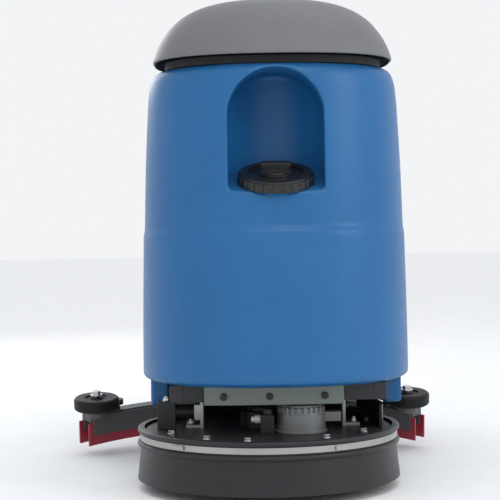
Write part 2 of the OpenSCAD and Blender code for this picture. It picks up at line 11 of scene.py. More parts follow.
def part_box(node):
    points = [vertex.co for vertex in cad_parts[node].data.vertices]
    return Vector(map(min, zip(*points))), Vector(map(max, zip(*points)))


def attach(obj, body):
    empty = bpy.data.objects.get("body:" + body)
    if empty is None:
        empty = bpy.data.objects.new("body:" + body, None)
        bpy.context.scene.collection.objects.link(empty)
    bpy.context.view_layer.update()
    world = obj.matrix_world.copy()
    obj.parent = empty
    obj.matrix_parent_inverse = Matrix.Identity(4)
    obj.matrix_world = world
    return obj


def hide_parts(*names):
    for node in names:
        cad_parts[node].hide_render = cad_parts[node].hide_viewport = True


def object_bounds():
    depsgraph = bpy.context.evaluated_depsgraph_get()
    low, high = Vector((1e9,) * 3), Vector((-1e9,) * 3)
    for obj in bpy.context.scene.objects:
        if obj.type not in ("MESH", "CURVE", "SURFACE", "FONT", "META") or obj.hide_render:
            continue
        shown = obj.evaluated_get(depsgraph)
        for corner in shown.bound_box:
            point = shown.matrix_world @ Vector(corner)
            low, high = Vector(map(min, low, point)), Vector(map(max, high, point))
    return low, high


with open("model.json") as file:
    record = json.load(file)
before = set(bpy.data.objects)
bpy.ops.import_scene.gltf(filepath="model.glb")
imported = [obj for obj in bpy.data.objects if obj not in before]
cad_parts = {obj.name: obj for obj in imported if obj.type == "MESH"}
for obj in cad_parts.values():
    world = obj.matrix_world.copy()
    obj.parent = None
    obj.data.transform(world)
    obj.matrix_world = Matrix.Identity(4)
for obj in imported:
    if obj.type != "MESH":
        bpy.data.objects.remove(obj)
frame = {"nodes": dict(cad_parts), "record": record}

# Looks of a ride on scrubber, in metres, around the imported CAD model.
# Front towards -Y. The machine's own centre plane lies at x = MACHINE_X.
NODES = frame["nodes"]
MM = 0.001
UP = Vector((0, 0, 1))
cad_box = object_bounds()
MACHINE_X = 0.05
MACHINE_Y = cad_box[0].y


def place(x, y, z):
    """A point given in millimetres from the machine's centre plane, the deck's front and the floor."""
    return Vector((x * MM + MACHINE_X, y * MM + MACHINE_Y, z * MM))


# ---------------------------------------------------------------- camera, light and floor

def aim(obj, target):
    obj.rotation_mode = "QUATERNION"
    obj.rotation_quaternion = (Vector(target) - obj.location).to_track_quat("-Z", "Y")


def make_camera(location, yaw, pitch, roll, lens):
    data = bpy.data.cameras.new("camera")
    data.sensor_width = 36
    data.lens = lens
    camera = bpy.data.objects.new("camera", data)
    bpy.context.scene.collection.objects.link(camera)
    yaw, pitch, roll = (math.radians(a) for a in (yaw, pitch, roll))
    forward = Vector((math.sin(yaw) * math.cos(pitch), math.cos(yaw) * math.cos(pitch), -math.sin(pitch)))
    camera.location = location
    camera.rotation_mode = "QUATERNION"
    camera.rotation_quaternion = forward.to_track_quat("-Z", "Y") @ Quaternion((0, 0, 1), -roll)
    bpy.context.scene.camera = camera


# Area lights: place, target, size in metres, power in watts.
LIGHTS = {
    "key_light": ((3.2, -2.6, 1.9), (0.1, -0.3, 0.7), (1.4, 1.8), 30),
    "front_light": ((0.5, -3.4, 3.6), (0.0, -0.5, 0.6), (1.6, 1.2), 22),
    "top_light": ((0.6, -0.6, 3.4), (0.0, -0.2, 0.9), (1.8, 1.8), 9),
    "back_light": ((-2.0, 3.2, 2.2), (0.0, 0.3, 0.6), (2.0, 1.6), 28),
}
SKY_COLOUR, SKY_STRENGTH = (0.97, 0.98, 1.0, 1), 0.92
FLOOR_SIZE, FLOOR_RGB = 30, (246, 247, 248)


def softbox(name, location, target, size, power):
    data = bpy.data.lights.new(name, "AREA")
    data.shape = "RECTANGLE"
    data.size, data.size_y = size
    data.energy = power
    light = bpy.data.objects.new(name, data)
    bpy.context.scene.collection.objects.link(light)
    light.location = location
    aim(light, target)


def make_studio():
    scene = bpy.context.scene
    scene.view_settings.view_transform = "Standard"
    world = bpy.data.worlds.new("studio")
    world.use_nodes = True
    background = world.node_tree.nodes["Background"]
    background.inputs["Color"].default_value = SKY_COLOUR
    background.inputs["Strength"].default_value = SKY_STRENGTH
    scene.world = world
    for name, settings in LIGHTS.items():
        softbox(name, *settings)
    bm = bmesh.new()
    bmesh.ops.create_grid(bm, x_segments=8, y_segments=8, size=FLOOR_SIZE)
    floor = finish_mesh("studio_floor", bm)
    floor.data.materials.append(surface("floor_paint", FLOOR_RGB, 0.85, grain=0.004, bump=0.05,
                                        mottle=0.015, wear=0))


# ---------------------------------------------------------------- materials

def linear(rgb):
    """An sRGB colour of 0 to 255 as linear light."""
    return tuple((c / 12.92 if c <= 0.04045 else ((c + 0.055) / 1.055) ** 2.4)
                 for c in (v / 255 for v in rgb)) + (1.0,)


def shade(rgb, share):
    return tuple(min(255, v * share) for v in rgb)


class Graph:
    """A short way to write a node tree."""

    def __init__(self, name):
        self.material = bpy.data.materials.new(name)
        self.material.use_nodes = True
        self.tree = self.material.node_tree
        self.shader = self.tree.nodes["Principled BSDF"]

    def node(self, kind, links=(), **settings):
        made = self.tree.nodes.new(kind)
        for key, value in settings.items():
            setattr(made, key, value)
        for socket, source in dict(links).items():
            if isinstance(source, bpy.types.NodeSocket):
                self.tree.links.new(source, made.inputs[socket])
            else:
                made.inputs[socket].default_value = source
        return made

    def math(self, operation, a, b=0.0, clamp=False):
        return self.node("ShaderNodeMath", {0: a, 1: b}, operation=operation, use_clamp=clamp).outputs[0]

    def noise(self, position, size, detail=3.0, rough=0.55):
        return self.node("ShaderNodeTexNoise", {"Vector": position, "Scale": 1 / size, "Detail": detail,
                                                "Roughness": rough}).outputs["Fac"]

    def stretched(self, position, scale):
        return self.node("ShaderNodeMapping", {"Vector": position, "Scale": scale}).outputs["Vector"]

    def remap(self, value, low, high, to_low, to_high):
        return self.node("ShaderNodeMapRange", {"Value": value, "From Min": low, "From Max": high,
                                                "To Min": to_low, "To Max": to_high}).outputs["Result"]

    def mix(self, share, a, b):
        made = self.node("ShaderNodeMix", {0: share}, data_type="RGBA")
        for socket, source in ((6, a), (7, b)):
            if isinstance(source, bpy.types.NodeSocket):
                self.tree.links.new(source, made.inputs[socket])
            else:
                made.inputs[socket].default_value = source
        return made.outputs[2]

    def feed(self, socket, source):
        self.tree.links.new(source, self.shader.inputs[socket])


# Finishes made so far, by slot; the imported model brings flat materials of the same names.
MADE = {}
BROAD_PATCH, SMALL_PATCH = 0.16, 0.028      # sizes of the mottling, in metres
DUST_RGB = (150, 147, 140)
GLOSS_SPREAD = 0.07


def surface(name, rgb, rough, metallic=0.0, grain=0.0012, bump=0.12, depth=0.0003, mottle=0.06, wear=0.35,
            edge=0.0015, worn=None, dust=0.0, brushed=None, scratches=0.0, cells=None, coat=0.0, sheen=0.0,
            specular=0.5):
    """A moulded, painted or machined finish: mottled, unevenly glossy, grained with painted shade in the
    leather grain's creases, scuffed and dusty.
    """
    if name in MADE:
        return MADE[name]
    g = Graph("finish_" + name)
    MADE[name] = g.material
    g.shader.inputs["Metallic"].default_value = metallic
    g.shader.inputs["Specular IOR Level"].default_value = specular
    if coat:
        g.shader.inputs["Coat Weight"].default_value = coat
        g.shader.inputs["Coat Roughness"].default_value = 0.2
    if sheen:
        g.shader.inputs["Sheen Weight"].default_value = sheen
    position = g.node("ShaderNodeTexCoord").outputs["Object"]
    broad = g.noise(position, BROAD_PATCH, 4.0)
    patchy = g.noise(position, SMALL_PATCH, 5.0, 0.65)
    drift = g.math("ADD", g.math("MULTIPLY", broad, 0.6), g.math("MULTIPLY", patchy, 0.4))
    colour = g.mix(g.remap(drift, 0.3, 0.7, 0, 1), linear(shade(rgb, 1 - mottle)),
                   linear(shade(rgb, 1 + mottle)))
    fine_place = g.stretched(position, brushed) if brushed else position
    fine = g.noise(fine_place, grain, 2.0)
    height = fine
    if cells:
        leather = g.node("ShaderNodeTexVoronoi", {"Vector": position, "Scale": 1 / cells},
                         feature="DISTANCE_TO_EDGE").outputs["Distance"]
        creases = g.remap(leather, 0.0, 0.35, 0.0, 1.0)
        height = g.math("ADD", g.math("MULTIPLY", creases, 0.8), g.math("MULTIPLY", fine, 0.3))
        # Painted shade: the grain's crease valleys are darkened towards 0.6 of the colour.
        colour = g.mix(g.remap(creases, 0, 0.5, 0.35, 0), colour, linear(shade(rgb, 0.6)))
    if scratches:
        lines = g.noise(g.stretched(position, (1.0, 1.0, 14.0)), 0.05, 6.0, 0.75)
        marks = g.remap(lines, 0.62, 0.72, 0.0, scratches)
        colour = g.mix(marks, colour, linear(shade(rgb, 1.35)))
    if dust:
        normal = g.node("ShaderNodeTexCoord").outputs["Normal"]
        upward = g.node("ShaderNodeSeparateXYZ", {0: normal}).outputs["Z"]
        settled = g.math("MULTIPLY", g.remap(upward, 0.5, 1.0, 0.0, dust),
                         g.remap(patchy, 0.35, 0.65, 0.3, 1.0))
        colour = g.mix(settled, colour, linear(DUST_RGB))
    if wear:
        rounded_normal = g.node("ShaderNodeBevel", {"Radius": edge}, samples=4).outputs["Normal"]
        true_normal = g.node("ShaderNodeNewGeometry").outputs["Normal"]
        turned = g.node("ShaderNodeVectorMath", {0: rounded_normal, 1: true_normal},
                        operation="DOT_PRODUCT").outputs["Value"]
        edges = g.math("MULTIPLY", g.remap(turned, 0.995, 0.93, 0.0, 1.0),
                       g.remap(patchy, 0.42, 0.62, 0.1, 1.0))
        colour = g.mix(g.math("MULTIPLY", edges, wear, clamp=True), colour,
                       linear(worn or shade(rgb, 1.5)))
    g.feed("Base Color", colour)
    g.feed("Roughness", g.remap(g.math("ADD", g.math("MULTIPLY", patchy, 0.7), g.math("MULTIPLY", fine, 0.3)),
                                0.3, 0.7, rough - GLOSS_SPREAD, rough + GLOSS_SPREAD))
    bumped = g.node("ShaderNodeBump", {"Strength": bump, "Distance": depth, "Height": height})
    g.feed("Normal", bumped.outputs["Normal"])
    return g.material


def screen_glass():
    """Dark display glass with a faint pattern of segments behind it."""
    g = Graph("finish_screen")
    g.shader.inputs["Coat Weight"].default_value = 0.6
    position = g.node("ShaderNodeTexCoord").outputs["Object"]
    bricks = g.node("ShaderNodeTexBrick", {"Vector": position, "Scale": 60.0, "Mortar Size": 0.03})
    bricks.inputs["Color1"].default_value = linear((14, 24, 26))
    bricks.inputs["Color2"].default_value = linear((20, 34, 34))
    bricks.inputs["Mortar"].default_value = linear((8, 10, 12))
    g.feed("Base Color", g.mix(g.remap(g.noise(position, 0.02), 0.35, 0.65, 0.0, 0.5),
                               bricks.outputs["Color"], linear((10, 14, 17))))
    g.feed("Roughness", g.remap(g.noise(position, 0.01), 0.3, 0.7, 0.12, 0.26))
    bumped = g.node("ShaderNodeBump", {"Strength": 0.05, "Distance": 0.0002,
                                       "Height": g.noise(position, 0.002)})
    g.feed("Normal", bumped.outputs["Normal"])
    return g.material


# Each material slot's finish: colour and roughness, then what sets it apart.
FINISHES = {
    "frame_black": ((34, 35, 38), 0.5, dict(grain=0.0022, bump=0.25, dust=0.12, worn=(95, 95, 98))),
    "plate_grey": ((110, 118, 114), 0.42, dict(metallic=0.55, brushed=(1, 8, 30), grain=0.004,
                                               scratches=0.35)),
    "dark_bolts": ((52, 53, 56), 0.38, dict(metallic=0.8, worn=(150, 150, 152))),
    "tank_blue": ((30, 97, 151), 0.38, dict(specular=0.35, grain=0.0016, bump=0.2, mottle=0.035, wear=0.22,
                                            edge=0.004, worn=(90, 135, 180), dust=0.04)),
    "seal_black": ((22, 22, 23), 0.7, dict(grain=0.001, bump=0.3)),
    "hinge_black": ((44, 45, 48), 0.45, dict(metallic=0.4)),
    "console_black": ((38, 39, 42), 0.55, dict(grain=0.0011, bump=0.4, dust=0.08, cells=0.0022)),
    "floor_black": ((38, 39, 42), 0.6, dict(grain=0.002, bump=0.3, dust=0.3)),
    "mat_rubber": ((27, 27, 28), 0.75, dict(grain=0.0012, bump=0.35, dust=0.3)),
    "battery_case": ((40, 42, 46), 0.5, dict(grain=0.0012, bump=0.25, dust=0.3)),
    "deck_black": ((26, 28, 30), 0.42, dict(specular=0.3, grain=0.0016, bump=0.25, dust=0.08,
                                            worn=(95, 98, 100))),
    "skirt_rubber": ((36, 37, 39), 0.4, dict(specular=0.35, grain=0.0014, bump=0.22, scratches=0.3,
                                             mottle=0.08, edge=0.003)),
    "band_steel": ((165, 165, 163), 0.33, dict(metallic=0.9, brushed=(1, 1, 30), grain=0.01, bump=0.15,
                                               wear=0.15)),
    "motor_silver": ((126, 128, 129), 0.42, dict(metallic=0.55, grain=0.0014, bump=0.3, dust=0.12,
                                                 wear=0.2)),
    "valve_black": ((25, 26, 28), 0.42, dict(grain=0.0012, bump=0.3, worn=(80, 81, 84))),
    "nozzle_white": ((222, 221, 214), 0.4, dict(wear=0.1, mottle=0.04)),
    "bright_bolts": ((196, 197, 198), 0.27, dict(metallic=0.95, brushed=(1, 1, 6), grain=0.003)),
    "brush_plastic": ((48, 54, 59), 0.5, dict(grain=0.0015)),
    "bristles": ((62, 90, 116), 0.45, dict(grain=0.003, mottle=0.18, wear=0)),
    "squeegee_grey": ((84, 85, 86), 0.46, dict(grain=0.0018, bump=0.3, dust=0.14, worn=(125, 125, 126))),
    "blade_red": ((160, 42, 58), 0.42, dict(specular=0.6, grain=0.0014, bump=0.15, mottle=0.14, wear=0.2,
                                            worn=(165, 80, 88))),
    "roller_black": ((17, 18, 19), 0.5, dict(specular=0.25, grain=0.0012, bump=0.3, scratches=0.2,
                                             dust=0.02)),
    "drive_tyre": ((52, 53, 55), 0.7, dict(grain=0.0014, bump=0.4, mottle=0.1, wear=0.25, edge=0.002)),
    "hub_grey": ((140, 142, 145), 0.4, dict(metallic=0.6, grain=0.0016, bump=0.25)),
    "rear_tyre": ((70, 71, 74), 0.7, dict(grain=0.0014, bump=0.4, mottle=0.1, wear=0.25, edge=0.002)),
    "rim_grey": ((170, 172, 174), 0.42, dict(grain=0.0016, bump=0.2, wear=0.2)),
    "wheel_black": ((24, 25, 27), 0.52, dict(grain=0.0011, bump=0.5, cells=0.0018, wear=0.15)),
    "lid_grey": ((108, 109, 113), 0.46, dict(specular=0.35, grain=0.0013, bump=0.25, mottle=0.03, wear=0.2,
                                             edge=0.003, worn=(135, 136, 140), dust=0.03)),
    "seat_vinyl": ((32, 33, 37), 0.44, dict(grain=0.0008, bump=0.45, cells=0.0032, depth=0.0004, mottle=0.05,
                                            wear=0, sheen=0.1)),
    "pedal_rubber": ((34, 35, 37), 0.7, dict(grain=0.0012, bump=0.4, dust=0.2)),
    "stop_red": ((184, 24, 30), 0.34, dict(wear=0.15, coat=0.3, mottle=0.04)),
}


def finish_of(slot_name):
    """The material of one of the record's slots."""
    if slot_name == "screen":
        if "screen" not in MADE:
            MADE["screen"] = screen_glass()
        return MADE["screen"]
    rgb, rough, rest = FINISHES[slot_name]
    return surface(slot_name, rgb, rough, **rest)


def dress(obj, slot_name):
    obj.data.materials.clear()
    obj.data.materials.append(finish_of(slot_name))


def dress_cad_nodes():
    """Every CAD node takes the finish of the slot that the record gives it."""
    for part in frame["record"]["subparts"]:
        mesh = NODES[part["node"]].data
        if not mesh.materials:
            mesh.materials.append(None)
        for i in range(len(mesh.materials)):
            mesh.materials[i] = finish_of(part["material_slot"])


# ---------------------------------------------------------------- mesh helpers

def finish_mesh(name, bm, smooth=True):
    """Writes a bmesh to a new object in the scene."""
    bmesh.ops.recalc_face_normals(bm, faces=bm.faces)
    mesh = bpy.data.meshes.new(name)
    bm.to_mesh(mesh)
    bm.free()
    for face in mesh.polygons:
        face.use_smooth = smooth
    obj = bpy.data.objects.new(name, mesh)
    bpy.context.scene.collection.objects.link(obj)
    return obj


def baked(obj):
    """Replaces the object's mesh by what its modifiers make of it."""
    bpy.context.view_layer.update()
    graph = bpy.context.evaluated_depsgraph_get()
    mesh = bpy.data.meshes.new_from_object(obj.evaluated_get(graph))
    obj.modifiers.clear()
    obj.data = mesh
    for face in mesh.polygons:
        face.use_smooth = True
    return obj


def carve(obj, cutter, operation):
    """One exact Boolean step; the cutter is used up."""
    step = obj.modifiers.new("carve", "BOOLEAN")
    step.operation = operation
    step.solver = "EXACT"
    step.object = cutter
    baked(obj)
    bpy.data.objects.remove(cutter)
    return obj


def soften(obj, voxel, passes):
    """Rounds every edge, as rotational moulding does: an even remesh, then smoothing."""
    remesh = obj.modifiers.new("remesh", "REMESH")
    remesh.mode = "VOXEL"
    remesh.voxel_size = voxel
    smooth = obj.modifiers.new("smooth", "SMOOTH")
    smooth.factor = 0.5
    smooth.iterations = passes
    return baked(obj)


SHARP_ANGLE, FLAT_ANGLE = math.radians(32), math.radians(0.4)


def refine(names, width, segments=2):
    """Rounds a CAD node's edges with modifiers and evens its shading; its mesh data is left unchanged."""
    for name in names:
        obj = NODES[name]
        weld = obj.modifiers.new("weld", "WELD")
        weld.merge_threshold = 1e-5
        flat = obj.modifiers.new("flat", "DECIMATE")
        flat.decimate_type = "DISSOLVE"
        flat.angle_limit = FLAT_ANGLE
        bevel = obj.modifiers.new("bevel", "BEVEL")
        bevel.width = width
        bevel.segments = segments
        bevel.limit_method = "ANGLE"
        bevel.angle_limit = SHARP_ANGLE
        bevel.use_clamp_overlap = False
        bevel.miter_outer = "MITER_ARC"
        even = obj.modifiers.new("even_shading", "WEIGHTED_NORMAL")
        even.keep_sharp = False


def superellipse(half, front, widest, back, front_power, back_power, count):
    """Plan outline in machine millimetres: widest at one line, with its own roundness before and behind."""
    points = []
    for i in range(count):
        turn = 2 * math.pi * i / count
        c, s = math.cos(turn), math.sin(turn)
        power = front_power if s < 0 else back_power
        reach = widest - front if s < 0 else back - widest
        points.append((half * math.copysign(abs(c) ** (2 / power), c),
                       widest + reach * math.copysign(abs(s) ** (2 / power), s)))
    return points


def loft(bm, rings, cap_low=True):
    """Joins rings of points, one above the other, by quads, and closes the ends."""
    rows = [[bm.verts.new(p) for p in ring] for ring in rings]
    count = len(rows[0])
    for low, high in zip(rows, rows[1:]):
        for i in range(count):
            j = (i + 1) % count
            bm.faces.new((low[i], low[j], high[j], high[i]))
    if cap_low:
        bm.faces.new(rows[0][::-1])
    bm.faces.new(rows[-1])
    return rows


def between(levels, steps):
    """Levels with rows put in between by a smooth curve through each column of numbers."""
    rows = []
    last = len(levels) - 1
    for k in range(last):
        p0, p1, p2, p3 = (levels[min(max(k + d, 0), last)] for d in (-1, 0, 1, 2))
        for s in range(steps):
            t = s / steps
            rows.append([p1[i] + 0.5 * t * (p2[i] - p0[i] + t * (2 * p0[i] - 5 * p1[i] + 4 * p2[i] - p3[i]
                         + t * (3 * (p1[i] - p2[i]) + p3[i] - p0[i]))) for i in range(len(p1))])
    rows.append(list(levels[-1]))
    return rows


def slab(name, low, high):
    """A box between two corners given in machine millimetres, as a cutter or a leg."""
    bm = bmesh.new()
    bmesh.ops.create_cube(bm, size=1)
    a, b = place(*low), place(*high)
    for v in bm.verts:
        v.co = Vector(((a[i] + b[i]) / 2 + v.co[i] * (b[i] - a[i]) for i in range(3)))
    return finish_mesh(name, bm)


def prism(name, outline, axis, start, end):
    """Extrudes a closed outline of machine millimetres along an axis: 1 for Y, 2 for Z."""
    bm = bmesh.new()
    to_point = {1: lambda a, b, d: place(a, d, b), 2: lambda a, b, d: place(a, b, d)}[axis]
    loft(bm, [[to_point(a, b, d) for a, b in outline] for d in (start, end)])
    return finish_mesh(name, bm)


def arc(cx, cy, r, start, end, count):
    """Points on a circle from one angle in degrees to another."""
    return [(cx + r * math.cos(math.radians(start + (end - start) * i / count)),
             cy + r * math.sin(math.radians(start + (end - start) * i / count))) for i in range(count + 1)]


def rounded(low, high, r, steps=8):
    """A rounded rectangle in plan between two corners."""
    (x0, y0), (x1, y1) = low, high
    corners = ((x1 - r, y1 - r, 0), (x0 + r, y1 - r, 90), (x0 + r, y0 + r, 180), (x1 - r, y0 + r, 270))
    return [p for cx, cy, start in corners for p in arc(cx, cy, r, start, start + 90, steps)]


# ---------------------------------------------------------------- tank

# Millimetres from the machine's centre plane, the deck's front and the floor.
RECESS_R, RECESS_TOP, LEDGE_TILT = 102.5, 920, math.radians(20.5)
CAP_Y, CAP_Z = 122, 678
# Height, half width, front, widest line; the front steps back above the crease.
TANK_LEVELS = [(241, 283, 76, 360), (245, 296, 59, 360), (252, 302, 52, 360), (262, 304, 50, 360),
               (400, 302, 50, 355), (500, 299.5, 51, 349), (562, 298, 51.5, 345), (571, 297.5, 53.5, 344),
               (579, 295.5, 58.5, 341), (588, 294.5, 60, 340), (720, 290, 60, 335), (860, 282, 62, 325),
               (900, 277, 64, 322), (916, 272, 68, 320), (926, 266, 75, 319), (931, 256, 86, 318)]
CREASE_Z, CREASE_RISE, CREASE_DROP, CREASE_SPREAD = 575, 7, 3.5, 45
TANK_BACK = 540


def tank_shell():
    """The rotomoulded tank: lofted body, arched fill recess, top compartment and two legs."""
    rings = []
    for z, half, front, widest in between(TANK_LEVELS, 3):
        outline = superellipse(half, front, widest, TANK_BACK, 2.3, 7, 200)
        near_crease = math.exp(-((z - CREASE_Z) / CREASE_SPREAD) ** 2)
        rings.append([place(x, y, z + CREASE_RISE * near_crease * (1 - (x / half) ** 2)
                            - CREASE_DROP * near_crease) for x, y in outline])
    bm = bmesh.new()
    loft(bm, rings)
    tank = finish_mesh("tank_shell", bm)
    arch = [(-RECESS_R, 560), (RECESS_R, 560)] + arc(0, RECESS_TOP - RECESS_R, RECESS_R, 0, 180, 48)
    plan = [(-RECESS_R - 1, -80), (RECESS_R + 1, -80)] + arc(0, CAP_Y, RECESS_R + 0.6, 0, 180, 64)
    ledge = slab("ledge", (-200, -250, CAP_Z), (200, 500, 1100))
    about = place(0, CAP_Y, CAP_Z)
    ledge.data.transform(Matrix.Translation(about) @ Matrix.Rotation(LEDGE_TILT, 4, "X")
                         @ Matrix.Translation(-about))
    recess = prism("recess", arch, 1, -60, 320)
    carve(recess, prism("plan", plan, 2, 560, 1000), "INTERSECT")
    carve(recess, ledge, "INTERSECT")
    carve(tank, recess, "DIFFERENCE")
    pocket = arc(120, 354, 50, 0, 90, 10) + arc(-120, 354, 50, 90, 180, 10)
    pocket += arc(-120, 302, 50, 180, 270, 10) + arc(120, 302, 50, 270, 360, 10)
    carve(tank, prism("pocket", pocket, 2, 700, 1000), "DIFFERENCE")
    for side in (-1, 1):
        inner, outer = sorted((246 * side, 288 * side))
        carve(tank, slab("leg", (inner, 330, 176), (outer, 480, 262)), "UNION")
    soften(tank, voxel=0.0045, passes=5)
    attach(tank, "machine")
    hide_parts("solution_tank")
    dress(tank, "tank_blue")
    neck_ring()


def neck_ring():
    """Threaded neck that stands on the ledge under the cap."""
    profile = [(62, -8), (62, 11), (63, 12), (69, 12), (70, 11), (70, 8.5), (71, 8), (71, 6.5), (70, 6),
               (70, -8)]
    count = 72
    bm = bmesh.new()
    tilt = Matrix.Rotation(LEDGE_TILT, 4, "X")
    rows = []
    for r, z in profile:
        circle = arc(0, 0, r, 0, 360, count)[:-1]
        rows.append([bm.verts.new(place(0, CAP_Y, CAP_Z) + tilt @ (Vector((x, y, z)) * MM))
                     for x, y in circle])
    for low, high in zip(rows, rows[1:] + rows[:1]):
        for i in range(count):
            j = (i + 1) % count
            bm.faces.new((low[i], low[j], high[j], high[i]))
    ring = finish_mesh("tank_neck", bm)
    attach(ring, "machine")
    dress(ring, "tank_blue")


LOUVRES, LOUVRE_Z, LOUVRE_PITCH, LOUVRE_HEIGHT = 6, 330, 30, 14


def rear_shell():
    """The moulded battery box: round corners, a belt groove, side panels, louvres behind, open on top."""
    bm = bmesh.new()
    belt = [(262, 5), (266, 1), (272, 0), (554, 0), (560, 4), (572, 4), (578, 0), (634, 0), (639.5, 1.5)]
    loft(bm, [[place(x, y, z) for x, y in rounded((-266 + g, 902 + g), (266 - g, 1370 - g), 40)]
              for z, g in belt])
    body = finish_mesh("rear_shell", bm)
    carve(body, slab("tray", (-158, 902.5, 241), (158, 1364, 275)), "UNION")
    for side in (-1, 1):
        inner, outer = sorted((262 * side, 290 * side))
        bm = bmesh.new()
        panel = rounded((960, 310), (1312, 530), 34)
        loft(bm, [[place(x, y, z) for y, z in panel] for x in (inner, outer)])
        carve(body, finish_mesh("side_panel", bm), "DIFFERENCE")
    for k in range(LOUVRES):
        foot = LOUVRE_Z + LOUVRE_PITCH * k
        carve(body, slab("louvre", (-110, 1366, foot), (110, 1390, foot + LOUVRE_HEIGHT)), "DIFFERENCE")
    carve(body, prism("room", rounded((-254, 914), (254, 1358), 30), 2, 268, 800), "DIFFERENCE")
    carve(body, slab("tray_room", (-152, 908, 247), (152, 1358, 300)), "DIFFERENCE")
    soften(body, voxel=0.004, passes=3)
    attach(body, "machine")
    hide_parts("rear_body")
    dress(body, "tank_blue")


# ---------------------------------------------------------------- lid

# Height and how much wider than the rim; the dome's plan is centred on LID_Y.
LID_LEVELS = [(948, -2), (949, -0.5), (952, 0), (962, -3), (978, -9), (996, -18), (1012, -29), (1028, -42),
              (1043, -59), (1057, -81), (1068, -107), (1077, -140), (1084, -185), (1087.2, -225), (1088, -262)]
LID_HALF, LID_Y, LID_DEPTH, LID_WALL = 266, 264, 206, 4
LUG_Y, LUG_Z, LUG_R, LUG_BORE_R, LUG_WIDTH = 480, 943, 8, 4.1, 20


def lid_rings(inset, drop):
    """The dome's rows of points, moved in and down for the inner side."""
    rings = []
    rim_z, blend = LID_LEVELS[0][0], 20
    for z, wider in between(LID_LEVELS, 3):
        half = max(LID_HALF + wider - inset, 1.5)
        reach = LID_DEPTH * (half / LID_HALF)
        outline = superellipse(half, LID_Y - reach, LID_Y, LID_Y + reach, 2.4, 3.4, 160)
        rings.append([place(x, y, z - drop * min(1, (z - rim_z) / blend)) for x, y in outline])
    return rings


def lid_shell():
    """The domed lid as one closed shell, thick as moulded, with its two hinge lugs."""
    bm = bmesh.new()
    outer = loft(bm, lid_rings(0, 0), cap_low=False)
    inner = loft(bm, lid_rings(LID_WALL, LID_WALL), cap_low=False)
    count = len(outer[0])
    for i in range(count):
        j = (i + 1) % count
        bm.faces.new((outer[0][i], outer[0][j], inner[0][j], inner[0][i]))
    lid = finish_mesh("lid_shell", bm)
    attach(lid, "lid")
    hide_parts("top_cover")
    dress(lid, "lid_grey")
    knuckle = arc(LUG_Y, LUG_Z, LUG_R, -150, 180, 40)
    knuckle += [(472, 951), (456, 951), (456, 948), (473.8, 948)]
    bore = arc(LUG_Y, LUG_Z, LUG_BORE_R, 0, 360, 32)[:-1]
    for name, x0 in (("lid_lug_left", -90), ("lid_lug_right", 70)):
        x1 = x0 + LUG_WIDTH
        bm = bmesh.new()
        loft(bm, [[place(x, y, z) for y, z in knuckle] for x in (x0, x1)])
        lug = finish_mesh(name, bm)
        bm = bmesh.new()
        loft(bm, [[place(x, y, z) for y, z in bore] for x in (x0 - 2, x1 + 2)])
        carve(lug, finish_mesh("bore", bm), "DIFFERENCE")
        for face in lug.data.polygons:
            face.use_smooth = False
        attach(lug, "lid")
        dress(lug, "lid_grey")


# ---------------------------------------------------------------- seat

CLOTH_FRAMES = 20
SEAT_RADIUS, SEAT_SEAM_X, BACK_RADIUS = 0.05, 0.135, 0.06
BACK_FOOT, BACK_LEAN, BACK_THICK, BACK_TALL = (0, 1306, 690), math.radians(-6), 0.062, 0.35


def rounded_block(name, low, high, radius, inset):
    """A block with round corners, a little inside its corners, ready to be blown up."""
    bm = bmesh.new()
    bmesh.ops.create_cube(bm, size=1)
    centre, size = (low + high) / 2, (high - low) - Vector((inset, inset, inset)) * 2
    for v in bm.verts:
        v.co = Vector((centre[i] + v.co[i] * size[i] for i in range(3)))
    upright = [e for e in bm.edges if abs((e.verts[0].co - e.verts[1].co).normalized().z) > 0.9]
    bmesh.ops.bevel(bm, geom=upright, offset=radius, segments=6, affect="EDGES", profile=0.5)
    return finish_mesh(name, bm)


def blow_up(obj, voxel, pressure, cap, held):
    """Cloth pressure on a remeshed pad: held(point) pins what rests on a plate, cap limits every move."""
    remesh = obj.modifiers.new("remesh", "REMESH")
    remesh.mode = "VOXEL"
    remesh.voxel_size = voxel
    baked(obj)
    rest = [v.co.copy() for v in obj.data.vertices]
    pins = obj.vertex_groups.new(name="held")
    pins.add([i for i, p in enumerate(rest) if held(p)], 1.0, "REPLACE")
    cloth = obj.modifiers.new("cloth", "CLOTH")
    cloth.settings.use_pressure = True
    cloth.settings.uniform_pressure_force = pressure
    cloth.settings.effector_weights.gravity = 0
    cloth.settings.vertex_group_mass = "held"
    cloth.settings.quality = 6
    cloth.settings.tension_stiffness = cloth.settings.compression_stiffness = 12
    cloth.settings.bending_stiffness = 2
    cloth.point_cache.frame_start, cloth.point_cache.frame_end = 1, CLOTH_FRAMES
    for step in range(1, CLOTH_FRAMES + 1):
        bpy.context.scene.frame_set(step)
    baked(obj)
    bpy.context.scene.frame_set(1)
    for v, start in zip(obj.data.vertices, rest):
        move = v.co - start
        if move.length > cap:
            v.co = start + move * (cap / move.length)
    obj.vertex_groups.clear()
    smooth = obj.modifiers.new("smooth", "SMOOTH")
    smooth.iterations = 6
    finer = obj.modifiers.new("finer", "SUBSURF")
    finer.levels = 1
    return baked(obj)


def fit(obj, low, high):
    """Scales the blown pad back into the room that the CAD keeps for it."""
    co = [v.co for v in obj.data.vertices]
    now_low = Vector((min(p[i] for p in co) for i in range(3)))
    now_high = Vector((max(p[i] for p in co) for i in range(3)))
    for v in obj.data.vertices:
        v.co = Vector((low[i] + (v.co[i] - now_low[i]) * (high[i] - low[i]) / (now_high[i] - now_low[i])
                       for i in range(3)))


def press_grooves(obj, grooves, width, depth, side):
    """Sews channels into the face that looks along side: each groove gives a point's distance to its line."""
    facing_side = [v.normal.dot(side) for v in obj.data.vertices]
    for v, facing in zip(obj.data.vertices, facing_side):
        if facing > 0.3:
            sink = max(math.exp(-(g(v.co) / width) ** 2) for g in grooves)
            v.co -= side * depth * sink * min(1, (facing - 0.3) / 0.4)
    obj.data.update()


